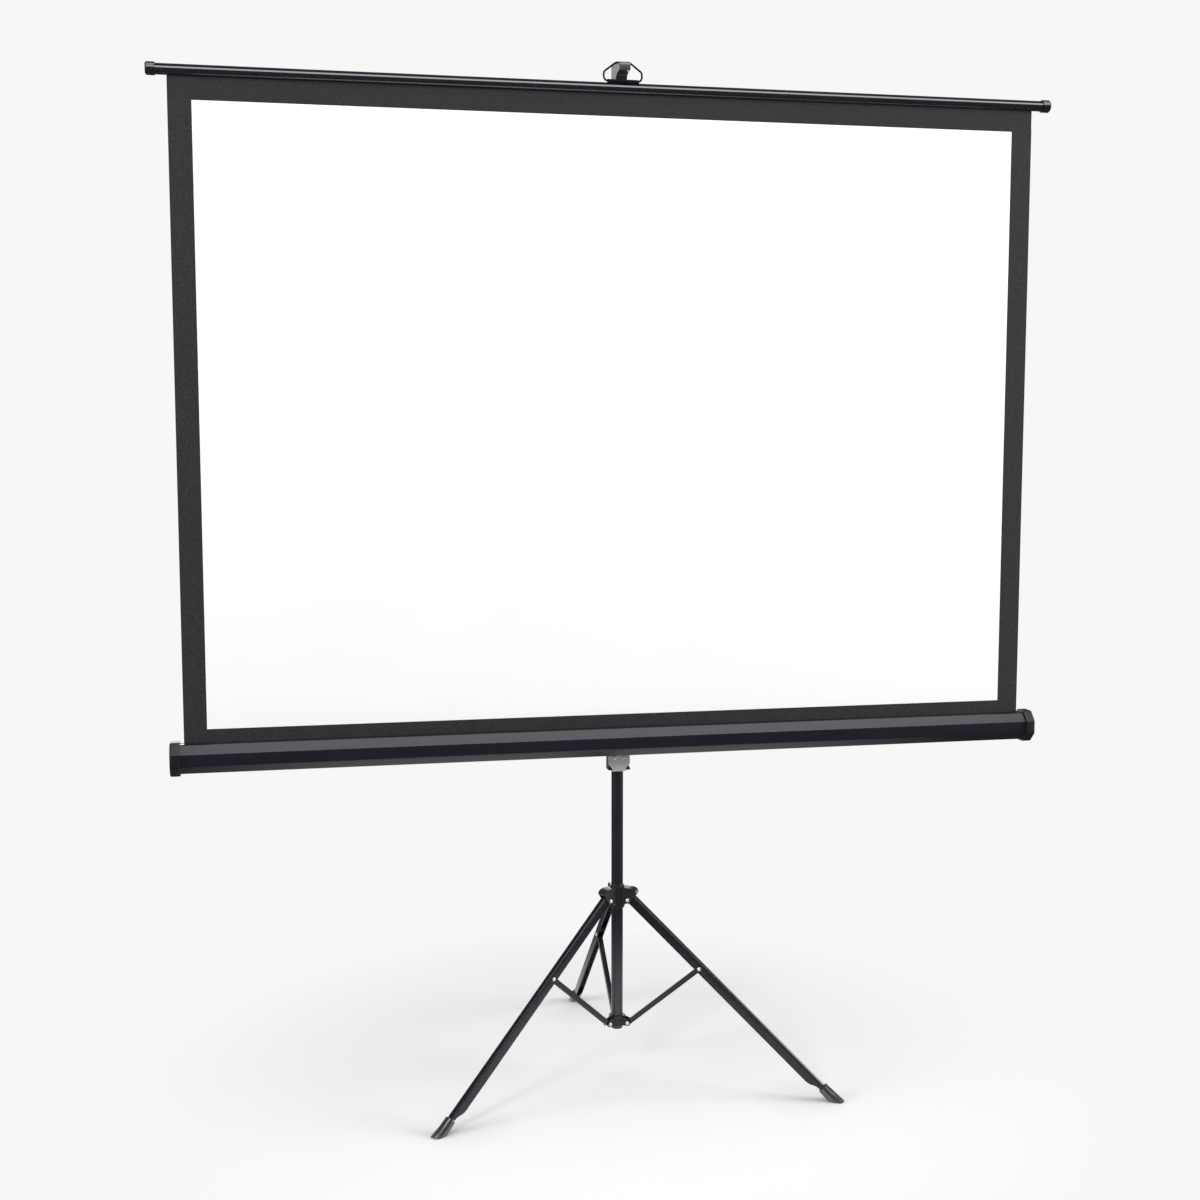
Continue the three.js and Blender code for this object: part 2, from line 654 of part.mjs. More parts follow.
// Carriage: block that slides on the mast, steel plate, pivot of the case, and brake lever
function addCarriage() {
  const bottom = caseZ - blockDrop;
  const top = caseZ + blockRise;
  const plan = outline([
    [-blockHalfWidth, -blockFront, blockCorner / 2],
    [blockHalfWidth, -blockFront, blockCorner / 2],
    [blockHalfWidth, blockBack, 2 * blockCorner],
    [-blockHalfWidth, blockBack, 2 * blockCorner],
  ]);
  const leverZ = caseZ - leverPivotDrop;
  const bore = turnedZ(rodProfile(tubeRadius + runGap, bottom - overcut, top + overcut));
  const pocketHalf = leverThick / 2 + runGap;
  const pocketTop = leverZ + leverBoss + leverTail / 4;
  const pocket = box([0, -pocketHalf, bottom - overcut], [blockHalfWidth + overcut, pocketHalf, pocketTop]);
  const pinHalf = pocketHalf + blockWall;
  const pinHole = turnedY(rodProfile(leverPinRadius + holeGap, -pinHalf, pinHalf), smallSteps);
  const wall = blockFront - tubeRadius - runGap;
  const through = (radius) => turnedY(rodProfile(radius + holeGap, -blockFront - wall, -tubeRadius), smallSteps);
  const screwZ = caseZ - screwDrop;
  const screwsX = [-screwSpacing / 2, screwSpacing / 2];
  const holes = screwsX.map((x) => through(screwRadius).translate(x, 0, screwZ));
  const block = cut(
    alongZ(plan, bottom, top),
    bore,
    pocket,
    pinHole.translate(leverPivotX, 0, leverZ),
    through(boltRadius).translate(0, 0, caseZ),
    ...holes,
  );
  add("carriage_block", "black_plastic", block);

  const lipTop = bottom - seatGap;
  const plateBottom = lipTop - plateThick;
  const face = outline([
    [-plateHalfWidth + plateChamferSide, plateBottom],
    [plateHalfWidth - plateChamferSide, plateBottom],
    [plateHalfWidth - plateChamferSide, plateBottom + plateChamferFoot],
    [plateHalfWidth, plateBottom + plateChamferFoot + plateChamferRise],
    [plateHalfWidth, top, blockCorner],
    [-plateHalfWidth, top, blockCorner],
    [-plateHalfWidth, plateBottom + plateChamferFoot + plateChamferRise],
    [-plateHalfWidth + plateChamferSide, plateBottom + plateChamferFoot],
  ]);
  const sheet = acrossY(face, plateThick).translate(0, -plateFront + plateThick / 2, 0);
  const lipLow = [-plateLipHalf, -plateFront + plateThick / 2, plateBottom];
  const lip = box(lipLow, [plateLipHalf, -plateFront + plateLip, lipTop]);
  const inPlate = (radius) => rodProfile(radius + holeGap, -plateFront - overcut, -blockFront);
  const plateHole = (radius, x, z) => turnedY(inPlate(radius), smallSteps).translate(x, 0, z);
  const plateHoles = screwsX.map((x) => plateHole(screwRadius, x, screwZ));
  const plate = cut(join(sheet, lip), plateHole(boltRadius, 0, caseZ), ...plateHoles);
  add("bracket_plate", "bright_steel", plate);

  for (const [side, x] of [["left", screwsX[0]], ["right", screwsX[1]]]) {
    const seat = plateFront + seatGap;
    const screw = turnedY(
      [
        ...dome(screwHeadRadius, seat, screwHeadThick).reverse(),
        [screwRadius, seat],
        [screwRadius, tubeRadius + 2 * runGap],
        [0, tubeRadius + 2 * runGap],
      ].map(([r, h]) => [r, -h]),
      smallSteps,
    );
    add(`plate_screw_${side}`, "bright_steel", screw.translate(x, 0, screwZ));
  }
  const washer = ringProfile(boltRadius + holeGap, washerRadius, -caseBack + seatGap, -plateFront - seatGap);
  add("pivot_washer", "black_plastic", turnedY(washer, roundSteps / 2).translate(0, 0, caseZ));
  const headSeat = caseBack + caseWall + seatGap;
  const bolt = turnedY(
    [
      ...dome(boltHeadRadius, headSeat, boltHeadThick).reverse(),
      [boltRadius, headSeat],
      [boltRadius, tubeRadius + 2 * runGap],
      [0, tubeRadius + 2 * runGap],
    ].map(([r, h]) => [r, -h]),
    smallSteps,
  );
  add("pivot_bolt", "plain_steel", bolt.translate(0, 0, caseZ));

  const pin = turnedY(rodProfile(leverPinRadius, -pinHalf + seatGap, pinHalf - seatGap), smallSteps);
  add("lever_pin", "plain_steel", pin.translate(leverPivotX, 0, leverZ));
  const arm = outline([
    [-leverBoss, -leverBoss, leverBoss / 2],
    [leverReach - leverPivotX - leverBoss, -leverTail, leverBoss / 2],
    [leverReach - leverPivotX, -leverTail, leverBoss / 3],
    [leverReach - leverPivotX, -leverTail + leverBoss, leverBoss / 3],
    [leverBoss, leverBoss, leverBoss],
    [-leverBoss, leverBoss, leverBoss / 2],
  ]);
  const leverHole = turnedY(rodProfile(leverPinRadius + runGap, -leverThick, leverThick), smallSteps);
  const lever = cut(acrossY(arm, leverThick), leverHole);
  add("brake_lever", "black_plastic", lever.translate(leverPivotX, 0, leverZ));
}

// A rivet along Y with a dome on each end, over a stack of the given width
function rivet(width) {
  const seat = width / 2 + seatGap;
  const head = dome(rivetHeadRadius, seat, rivetHeadHeight, 2);
  const foot = head.map(([r, h]) => [r, -h]).reverse();
  return turnedY([...foot, [rivetRadius, -seat], [rivetRadius, seat], ...head], smallSteps);
}

function rivetHole(width) {
  return turnedY(rodProfile(rivetRadius + holeGap, -width, width), smallSteps);
}

// Hub: sleeve on the mast with three roofed lugs that hold the legs' heads
function addHub(arms) {
  const inner = tubeRadius + runGap;
  const outer = inner + hubWall;
  const slotWide = legWidth + 2 * runGap;
  const cheekWide = slotWide + 2 * cheekThick;
  const tip = pivotRadius + lugReach;
  const underside = (z) => z - roofThick;
  const roofEnd = roofTop - 4 * roofThick;
  const lugOutline = new THREE.Shape();
  lugOutline.moveTo(inner, roofTop);
  lugOutline.lineTo(pivotRadius + legCorner, roofTop);
  lugOutline.quadraticCurveTo(tip - legCorner, roofTop, tip, roofTop - 3 * roofThick);
  lugOutline.lineTo(tip - roofThick / 2, roofEnd);
  lugOutline.lineTo(pivotRadius + lugDrop, -lugDrop / 2);
  lugOutline.quadraticCurveTo(pivotRadius + lugDrop / 2, -lugDrop, pivotRadius, -lugDrop);
  lugOutline.lineTo(outer + lugDrop, -lugDrop);
  lugOutline.quadraticCurveTo(outer, -lugDrop, outer, -2 * lugDrop);
  lugOutline.lineTo(inner, -2 * lugDrop);
  lugOutline.closePath();
  const beadOutline = new THREE.Shape();
  beadOutline.moveTo(inner, roofTop);
  beadOutline.lineTo(pivotRadius + legCorner, roofTop);
  beadOutline.quadraticCurveTo(tip - legCorner, roofTop, tip, roofTop - 3 * roofThick);
  beadOutline.lineTo(tip - roofThick / 2, roofEnd);
  beadOutline.quadraticCurveTo(tip - 2 * roofThick, underside(roofTop), pivotRadius, underside(roofTop));
  beadOutline.lineTo(inner, underside(roofTop));
  beadOutline.closePath();
  const slotOutline = new THREE.Shape();
  slotOutline.moveTo(outer + seatGap, underside(roofTop));
  slotOutline.lineTo(pivotRadius, underside(roofTop));
  slotOutline.quadraticCurveTo(tip - 2 * roofThick, underside(roofTop), tip - roofThick / 2, roofEnd);
  slotOutline.lineTo(2 * tip, roofEnd);
  slotOutline.lineTo(2 * tip, 2 * hubBottom);
  slotOutline.lineTo(outer + seatGap, 2 * hubBottom);
  slotOutline.closePath();
  const toArm = (geometry, azimuth) => geometry.translate(0, 0, hubPivotZ).rotateZ(azimuth);
  let body = turnedZ([
    [0, hubBottom],
    [outer - hubWall / 3, hubBottom],
    [outer, hubBottom + hubWall / 3],
    [outer, hubTop - hubWall / 3],
    [outer - hubWall / 3, hubTop],
    [0, hubTop],
  ]).translate(0, 0, hubPivotZ);
  for (const azimuth of arms) {
    const lug = acrossY(lugOutline, cheekWide);
    const bead = acrossY(beadOutline, cheekWide + 2 * roofBead);
    body = join(body, toArm(lug, azimuth), toArm(bead, azimuth));
  }
  for (const azimuth of arms) {
    const slot = acrossY(slotOutline, slotWide);
    const hole = rivetHole(cheekWide).translate(pivotRadius, 0, 0);
    body = cut(body, toArm(slot, azimuth), toArm(hole, azimuth));
  }
  const bore = turnedZ(rodProfile(inner, 2 * hubBottom, 2 * hubTop)).translate(0, 0, hubPivotZ);
  add("leg_hub", "black_plastic", cut(body, bore));
  return cheekWide;
}

// Lower collar: ring fixed on the mast, with a pair of cheeks for each brace
function addCollar(arms) {
  const inner = tubeRadius + seatGap / 2;
  const outer = inner + collarWall;
  const gap = braceWidth + 2 * runGap;
  const wide = gap + 2 * cheekThick;
  const chamfer = collarWall / 4;
  let body = turnedZ([
    [inner, collarBottom],
    [outer - chamfer, collarBottom],
    [outer, collarBottom + chamfer],
    [outer, collarTop - chamfer],
    [outer - chamfer, collarTop],
    [inner, collarTop],
    [inner, collarBottom],
  ]).translate(0, 0, collarPivotZ);
  const cheek = outline([
    [outer - collarWall / 2, -cheekRadius],
    [pivotRadius + cheekRadius, -cheekRadius, cheekRadius],
    [pivotRadius + cheekRadius, cheekRadius, cheekRadius],
    [outer - collarWall / 2, 2 * cheekRadius],
  ]);
  const toArm = (geometry, azimuth) => geometry.translate(0, 0, collarPivotZ).rotateZ(azimuth);
  for (const azimuth of arms) body = join(body, toArm(acrossY(cheek, wide), azimuth));
  for (const azimuth of arms) {
    const room = box([outer, -gap / 2, 2 * collarBottom], [2 * pivotRadius, gap / 2, 2 * collarTop]);
    const hole = rivetHole(wide).translate(pivotRadius, 0, 0);
    body = cut(body, toArm(room, azimuth), toArm(hole, azimuth));
  }
  const bore = turnedZ(rodProfile(inner, 2 * collarBottom, 2 * collarTop)).translate(0, 0, collarPivotZ);
  add("lower_collar", "black_plastic", cut(body, bore));
  return wide;
}

// Leg: a channel open towards the mast, drawn hanging straight down from its pivot
function legChannel(legEnd, taperStart, taperEnd) {
  const half = legWidth / 2;
  const back = legDepth - pivotEdge;
  const wallBack = back - legWall;
  const channel = outline([
    [-pivotEdge, -half],
    [back, -half, legCorner],
    [back, half, legCorner],
    [-pivotEdge, half],
    [-pivotEdge, half - legWall],
    [wallBack, half - legWall, legCorner - legWall],
    [wallBack, legWall - half, legCorner - legWall],
    [-pivotEdge, legWall - half],
  ]);
  const narrow = back - legNarrowDepth;
  const middle = (taperStart + taperEnd) / 2;
  const side = new THREE.Shape();
  side.moveTo(-2 * pivotEdge, -taperStart);
  side.lineTo(-2 * pivotEdge, 0);
  side.lineTo(-pivotEdge, 0);
  side.quadraticCurveTo(-pivotEdge, legHead, 0, legHead);
  side.lineTo(back - legHead, legHead);
  side.quadraticCurveTo(back, legHead, back + overcut, 0);
  side.lineTo(back + overcut, -legEnd);
  side.lineTo(narrow, -legEnd);
  side.lineTo(narrow, -taperEnd);
  side.bezierCurveTo(narrow, -middle, -pivotEdge, -middle, -pivotEdge, -taperStart);
  side.closePath();
  const trimmed = common(alongZ(channel, -legEnd - overcut, legHead + overcut, 3), acrossY(side, 2 * legWidth, 6));
  const lower = -braceLength * Math.cos(legSkew);
  const lowerHole = rivetHole(legWidth).translate(braceRivetEdge - pivotEdge, 0, lower);
  return cut(trimmed, rivetHole(legWidth), lowerHole);
}

// Boot: flared sleeve on the leg's narrow end, cut flat by the floor and rounded at the sole's outer end
function legBoot(legEnd, bootTop, toLeg) {
  const back = legDepth - pivotEdge;
  const middle = back - legNarrowDepth / 2;
  const sleeve = turnedZ([
    [0, -bootTop - 2 * bootLength],
    [bootRadius + 2 * bootFlare, -bootTop - 2 * bootLength],
    [bootRadius, -bootTop - bootRound],
    [bootRadius - bootRound, -bootTop],
    [0, -bootTop],
  ], roundSteps / 2).translate(middle, 0, 0);
  const low = [back - legNarrowDepth - seatGap, -legWidth / 2 - seatGap, -legEnd - seatGap];
  const pocket = box(low, [back + seatGap, legWidth / 2 + seatGap, -bootTop + overcut]);
  const wall = middle + bootRadius + bootFlare + seatGap;
  const drop = (hubPivotZ + wall * Math.sin(legLean)) / Math.cos(legLean);
  const tip = pivotRadius + wall * Math.cos(legLean) + drop * Math.sin(legLean);
  const above = outline([
    [0, 0],
    [tip, 0, bootTip],
    [tip - hubPivotZ * Math.tan(legLean), hubPivotZ],
    [0, hubPivotZ],
  ]);
  return common(cut(sleeve, pocket), acrossY(above, 4 * bootRadius, 5).applyMatrix4(toLeg));
}

// Brace: a strut of channel section with a rounded block at each end, drawn standing on its collar pivot
function braceStrut() {
  const half = braceDepth / 2;
  const side = outline([
    [-half, -half, half],
    [half, -half, half],
    [half, braceLength + half, half],
    [-half, braceLength + half, half],
  ]);
  const inner = braceWidth / 2 - braceWall;
  const low = [braceWall - half, -inner, braceEndBlock];
  const trough = box(low, [braceDepth, inner, braceLength - braceEndBlock]);
  const farHole = rivetHole(braceWidth).translate(0, 0, braceLength);
  return cut(acrossY(side, braceWidth, 6), trough, rivetHole(braceWidth), farHole);
}

// Three legs with their boots, braces and rivets
function addLegs() {
  const arms = Object.values(legAzimuths).map((degrees) => THREE.MathUtils.degToRad(degrees));
  const hubWide = addHub(arms);
  const collarWide = addCollar(arms);
  const bootMiddle = legDepth - pivotEdge - legNarrowDepth / 2;
  const floorReach = (hubPivotZ + bootMiddle * Math.sin(legLean)) / Math.cos(legLean);
  const bootTop = floorReach - bootLength;
  const legEnd = bootTop + bootGrip;
  const taperEnd = bootTop - seatGap;
  for (const [side, degrees] of Object.entries(legAzimuths)) {
    const arm = new THREE.Group();
    arm.rotation.z = THREE.MathUtils.degToRad(degrees);
    group.add(arm);
    const leg = new THREE.Group();
    leg.position.set(pivotRadius, 0, hubPivotZ);
    leg.rotation.y = -legLean;
    leg.updateMatrix();
    arm.add(leg);
    add(`leg_${side}`, "black_leg", legChannel(legEnd, taperEnd - legTaper, taperEnd), leg);
    add(`boot_${side}`, "boot_rubber", legBoot(legEnd, bootTop, leg.matrix.clone().invert()), leg);
    add(`hub_rivet_${side}`, "bright_steel", rivet(hubWide), leg);
    const legRivet = add(`leg_rivet_${side}`, "bright_steel", rivet(legWidth), leg);
    legRivet.position.set(braceRivetEdge - pivotEdge, 0, -braceLength * Math.cos(legSkew));
    const brace = new THREE.Group();
    brace.position.set(pivotRadius, 0, collarPivotZ);
    brace.rotation.y = foldAngle;
    arm.add(brace);
    add(`brace_${side}`, "black_leg", braceStrut(), brace);
    add(`collar_rivet_${side}`, "bright_steel", rivet(collarWide), brace);
  }
}

addFabric();
addCase();
addRoller();
addSlat();
addMast();
addHook();
addLock();
addCarriage();
addLegs();

export default group;
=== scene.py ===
import json
import math

import bpy
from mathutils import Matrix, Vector


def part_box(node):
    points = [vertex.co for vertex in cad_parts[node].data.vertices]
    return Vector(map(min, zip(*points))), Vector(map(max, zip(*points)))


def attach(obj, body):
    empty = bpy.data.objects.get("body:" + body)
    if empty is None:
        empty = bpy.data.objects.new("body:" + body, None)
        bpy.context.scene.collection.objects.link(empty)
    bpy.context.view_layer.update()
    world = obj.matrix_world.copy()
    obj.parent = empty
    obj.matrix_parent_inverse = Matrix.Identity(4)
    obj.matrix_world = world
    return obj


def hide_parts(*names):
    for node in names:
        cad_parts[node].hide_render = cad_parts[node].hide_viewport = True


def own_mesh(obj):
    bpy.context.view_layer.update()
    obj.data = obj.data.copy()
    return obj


# Tripod projection screen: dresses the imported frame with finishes, the stretched fabric and small fittings
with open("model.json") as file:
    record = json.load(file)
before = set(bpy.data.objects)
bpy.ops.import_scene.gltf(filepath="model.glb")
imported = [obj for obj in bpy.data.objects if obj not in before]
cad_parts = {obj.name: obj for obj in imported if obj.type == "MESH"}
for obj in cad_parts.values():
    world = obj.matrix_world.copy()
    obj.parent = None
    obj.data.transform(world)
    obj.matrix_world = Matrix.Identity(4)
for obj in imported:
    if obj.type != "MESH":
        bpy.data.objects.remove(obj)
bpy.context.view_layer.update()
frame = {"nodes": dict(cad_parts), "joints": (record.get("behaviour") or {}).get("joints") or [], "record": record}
nodes = frame["nodes"]
print("frame loaded with", len(nodes), "nodes")

legSides = ("back", "left", "right")
endSides = ("left", "right")


# A shader socket that takes part in sums
class Wire:
    def __init__(self, tree, socket):
        self.tree = tree
        self.socket = socket

    def sum(self, operation, first, second):
        node = self.tree.nodes.new("ShaderNodeMath")
        node.operation = operation
        for entry, value in zip(node.inputs, (first, second)):
            feed(self.tree, entry, value)
        return Wire(self.tree, node.outputs[0])

    def __add__(self, other):
        return self.sum("ADD", self, other)

    def __radd__(self, other):
        return self.sum("ADD", other, self)

    def __sub__(self, other):
        return self.sum("SUBTRACT", self, other)

    def __rsub__(self, other):
        return self.sum("SUBTRACT", other, self)

    def __mul__(self, other):
        return self.sum("MULTIPLY", self, other)

    def __rmul__(self, other):
        return self.sum("MULTIPLY", other, self)

    def __lt__(self, other):
        return self.sum("LESS_THAN", self, other)

    def __gt__(self, other):
        return self.sum("GREATER_THAN", self, other)

    def __abs__(self):
        return self.sum("ABSOLUTE", self, 0.0)


def feed(tree, entry, value):
    if isinstance(value, Wire):
        tree.links.new(value.socket, entry)
    else:
        entry.default_value = value


def grey(level):
    return (level, level, level)


# One material: its shader, and a method that adds any node
class Finish:
    def __init__(self, name, colour, metallic=0.0):
        self.material = bpy.data.materials.new(name)
        self.material.use_nodes = True
        self.tree = self.material.node_tree
        self.shader = self.tree.nodes["Principled BSDF"]
        self.place = self.node("ShaderNodeTexCoord", out="Object")
        self.set(Base_Color=(*colour, 1), Metallic=metallic)

    def node(self, kind, settings=None, out=0, **values):
        node = self.tree.nodes.new(kind)
        for key, value in (settings or {}).items():
            setattr(node, key, value)
        for key, value in values.items():
            feed(self.tree, node.inputs[key.replace("_", " ")], value)
        return Wire(self.tree, node.outputs[out])

    def noise(self, scale, detail=2.0, stretch=(1, 1, 1), rough=0.5):
        place = self.place
        if stretch != (1, 1, 1):
            place = self.node("ShaderNodeMapping", Vector=self.place, Scale=stretch)
        return self.node("ShaderNodeTexNoise", Vector=place, Scale=scale, Detail=detail, Roughness=rough)

    def axis(self, letter):
        return self.node("ShaderNodeSeparateXYZ", out=letter, Vector=self.place)

    def mix(self, share, first, second):
        node = self.tree.nodes.new("ShaderNodeMix")
        node.data_type = "RGBA"
        colours = [entry for entry in node.inputs if entry.type == "RGBA"]
        feed(self.tree, node.inputs["Factor"], share)
        for entry, value in zip(colours, (first, second)):
            feed(self.tree, entry, value if isinstance(value, Wire) else (*value, 1))
        output = next(entry for entry in node.outputs if entry.type == "RGBA")
        return Wire(self.tree, output)

    def set(self, **values):
        for key, value in values.items():
            feed(self.tree, self.shader.inputs[key.replace("_", " ")], value)

    def bump(self, height, strength, distance):
        normal = self.node("ShaderNodeBump", Height=height, Strength=strength, Distance=distance)
        self.set(Normal=normal)

    # Warp and weft crossing, as one height
    def weave(self, thread, stretch):
        warp = self.noise(thread, detail=2, stretch=(1, 1, stretch))
        weft = self.noise(thread, detail=2, stretch=(stretch, 1, 1))
        return warp * 0.5 + weft * 0.5


# In every look, "bump" is a strength and a depth in metres


# Semi-gloss paint on the folded case: faint orange peel and a few dull patches
def paintCase():
    look = {
        "deep": (0.007, 0.007, 0.0145),
        "worn": (0.012, 0.012, 0.0205),
        "patch": 9,
        "patchStretch": (0.35, 1, 1),
        "rough": 0.2,
        "patchRough": 0.12,
        "peel": 620,
        "bump": (0.05, 0.0004),
    }
    paint = Finish("case_paint", look["deep"])
    patch = paint.noise(look["patch"], detail=4, stretch=look["patchStretch"])
    peel = paint.noise(look["peel"], detail=1)
    paint.set(Base_Color=paint.mix(patch, look["deep"], look["worn"]))
    paint.set(Roughness=patch * look["patchRough"] + look["rough"])
    paint.bump(peel, *look["bump"])
    return paint.material


# Satin paint on drawn tubes: long faint draw marks
def paintTube():
    look = {
        "deep": (0.0095, 0.0095, 0.0155),
        "pale": (0.0135, 0.0135, 0.0205),
        "cloud": 30,
        "rough": 0.13,
        "cloudRough": 0.08,
        "shine": 0.8,
        "marks": 700,
        "marksStretch": (1, 1, 0.01),
        "bump": (0.015, 0.0003),
    }
    paint = Finish("tube_paint", look["deep"])
    marks = paint.noise(look["marks"], detail=2, stretch=look["marksStretch"])
    cloud = paint.noise(look["cloud"], detail=3)
    paint.set(Base_Color=paint.mix(cloud, look["deep"], look["pale"]))
    paint.set(Roughness=cloud * look["cloudRough"] + look["rough"])
    paint.set(Specular_IOR_Level=look["shine"])
    paint.bump(marks, *look["bump"])
    return paint.material


# The slat's paint is darker, with a gloss coat and its draw marks along X
def paintSlat():
    look = {
        "deep": (0.0035, 0.0035, 0.008),
        "pale": (0.006, 0.006, 0.0115),
        "cloud": 26,
        "cloudStretch": (0.4, 1, 1),
        "rough": 0.1,
        "cloudRough": 0.07,
        "shine": 0.8,
        "coat": 0.9,
        "coatRough": 0.06,
        "marks": 700,
        "marksStretch": (0.01, 1, 1),
        "bump": (0.01, 0.0002),
    }
    paint = Finish("slat_paint", look["deep"])
    marks = paint.noise(look["marks"], detail=2, stretch=look["marksStretch"])
    cloud = paint.noise(look["cloud"], detail=3, stretch=look["cloudStretch"])
    paint.set(Base_Color=paint.mix(cloud, look["deep"], look["pale"]))
    paint.set(Roughness=cloud * look["cloudRough"] + look["rough"])
    paint.set(Specular_IOR_Level=look["shine"])
    paint.set(Coat_Weight=look["coat"], Coat_Roughness=look["coatRough"])
    paint.bump(marks, *look["bump"])
    return paint.material


# Powder coat on the pressed legs and braces: fine pebble
def paintLeg():
    look = {
        "deep": (0.004, 0.004, 0.008),
        "pale": (0.0075, 0.0075, 0.0125),
        "cloud": 22,
        "rough": 0.17,
        "pebbleRough": 0.1,
        "shine": 0.55,
        "pebble": 1100,
        "bump": (0.04, 0.0004),
    }
    coat = Finish("leg_coat", look["deep"])
    pebble = coat.noise(look["pebble"], detail=2)
    cloud = coat.noise(look["cloud"], detail=4)
    coat.set(Base_Color=coat.mix(cloud, look["deep"], look["pale"]))
    coat.set(Roughness=pebble * look["pebbleRough"] + look["rough"])
    coat.set(Specular_IOR_Level=look["shine"])
    coat.bump(pebble, *look["bump"])
    return coat.material


nylons = {
    "black_plastic": {
        "name": "black_nylon",
        "deep": (0.004, 0.004, 0.0055),
        "pale": (0.009, 0.009, 0.011),
        "rough": 0.38,
        "shine": 0.5,
    },
    "gloss_cap": {
        "name": "gloss_nylon",
        "deep": (0.0035, 0.0035, 0.005),
        "pale": (0.007, 0.007, 0.009),
        "rough": 0.17,
        "shine": 1.0,
    },
    "grey_hook": {
        "name": "hook_nylon",
        "deep": (0.03, 0.03, 0.032),
        "pale": (0.055, 0.055, 0.058),
        "rough": 0.2,
        "shine": 1.0,
    },
    "bail_wire": {  # dull enamel with the same grain
        "name": "bail_enamel",
        "deep": (0.002, 0.002, 0.0026),
        "pale": (0.004, 0.004, 0.0048),
        "rough": 0.45,
        "shine": 0.1,
    },
}


# Moulded nylon: fine spark-eroded grain, a little paler in clouds
def mouldNylon(name, deep, pale, rough, shine):
    look = {
        "cloud": 45,
        "grain": 1500,
        "grainEdge": 0.7,
        "grainRough": 0.2,
        "bumpShare": 0.5,  # bump strength as a share of the roughness
        "depth": 0.0004,
    }
    nylon = Finish(name, deep)
    grain = nylon.noise(look["grain"], detail=3, rough=look["grainEdge"])
    cloud = nylon.noise(look["cloud"], detail=4)
    nylon.set(Base_Color=nylon.mix(cloud, deep, pale))
    nylon.set(Roughness=grain * look["grainRough"] + (rough - look["grainRough"] / 2))
    nylon.set(Specular_IOR_Level=shine)
    nylon.bump(grain, rough * look["bumpShare"], look["depth"])
    return nylon.material


# Boot rubber: soft shine, scuffed and dusty towards the sole
def mouldRubber():
    look = {
        "deep": (0.028, 0.028, 0.03),
        "dust": (0.08, 0.077, 0.073),
        "dustShare": 0.9,
        "soleTop": 0.012,
        "scuff": 160,
        "scuffEdge": 0.65,
        "rough": 0.12,
        "scuffRough": 0.08,
        "dustRough": 0.25,
        "shine": 1.0,
        "coat": 0.7,
        "coatRough": 0.12,
        "bump": (0.05, 0.0005),
    }
    rubber = Finish("boot_rubber", look["deep"])
    height = rubber.axis("Z")
    scuff = rubber.noise(look["scuff"], detail=5, rough=look["scuffEdge"])
    nearSole = rubber.node("ShaderNodeMapRange", Value=height, From_Min=look["soleTop"], From_Max=0.0)
    dusty = nearSole * scuff * look["dustShare"]
    rubber.set(Base_Color=rubber.mix(dusty, look["deep"], look["dust"]))
    rubber.set(Roughness=scuff * look["scuffRough"] + dusty * look["dustRough"] + look["rough"])
    rubber.set(Specular_IOR_Level=look["shine"])
    rubber.set(Coat_Weight=look["coat"], Coat_Roughness=look["coatRough"])
    rubber.bump(scuff, *look["bump"])
    return rubber.material


# Zinc plate: bright, with brushed lines and faint yellow clouds
def plateZinc():
    look = {
        "bright": (0.84, 0.83, 0.81),
        "dull": (0.66, 0.65, 0.61),
        "metal": 0.35,
        "cloud": 60,
        "rough": 0.2,
        "brushRough": 0.2,
        "cloudRough": 0.1,
        "brush": 900,
        "brushStretch": (0.04, 1, 1),
        "bump": (0.08, 0.0003),
    }
    zinc = Finish("zinc_plate", look["bright"], look["metal"])
    brush = zinc.noise(look["brush"], detail=2, stretch=look["brushStretch"])
    cloud = zinc.noise(look["cloud"], detail=4)
    zinc.set(Base_Color=zinc.mix(cloud, look["bright"], look["dull"]))
    zinc.set(Roughness=brush * look["brushRough"] + cloud * look["cloudRough"] + look["rough"])
    zinc.bump(brush, *look["bump"])
    return zinc.material


# Bright rivets: rolled dome with light tool marks
def rivetSteel():
    look = {
        "bright": (0.82, 0.81, 0.79),
        "dull": (0.6, 0.59, 0.57),
        "metal": 0.45,
        "rough": 0.12,
        "marksRough": 0.2,
        "marks": 420,
        "bump": (0.05, 0.0003),
    }
    steel = Finish("rivet_steel", look["bright"], look["metal"])
    marks = steel.noise(look["marks"], detail=4)
    steel.set(Base_Color=steel.mix(marks, look["bright"], look["dull"]))
    steel.set(Roughness=marks * look["marksRough"] + look["rough"])
    steel.bump(marks, *look["bump"])
    return steel.material


# Plain steel inside the case and slat: turned or drawn along X
def bareSteel():
    look = {
        "bright": (0.36, 0.36, 0.37),
        "dull": (0.2, 0.2, 0.2),
        "metal": 1.0,
        "cloud": 40,
        "rough": 0.24,
        "marksRough": 0.25,
        "marks": 500,
        "marksStretch": (0.05, 1, 1),
        "bump": (0.08, 0.0003),
    }
    steel = Finish("bare_steel", look["bright"], look["metal"])
    marks = steel.noise(look["marks"], detail=3, stretch=look["marksStretch"])
    cloud = steel.noise(look["cloud"], detail=4)
    steel.set(Base_Color=steel.mix(cloud, look["bright"], look["dull"]))
    steel.set(Roughness=marks * look["marksRough"] + look["rough"])
    steel.bump(marks, *look["bump"])
    return steel.material


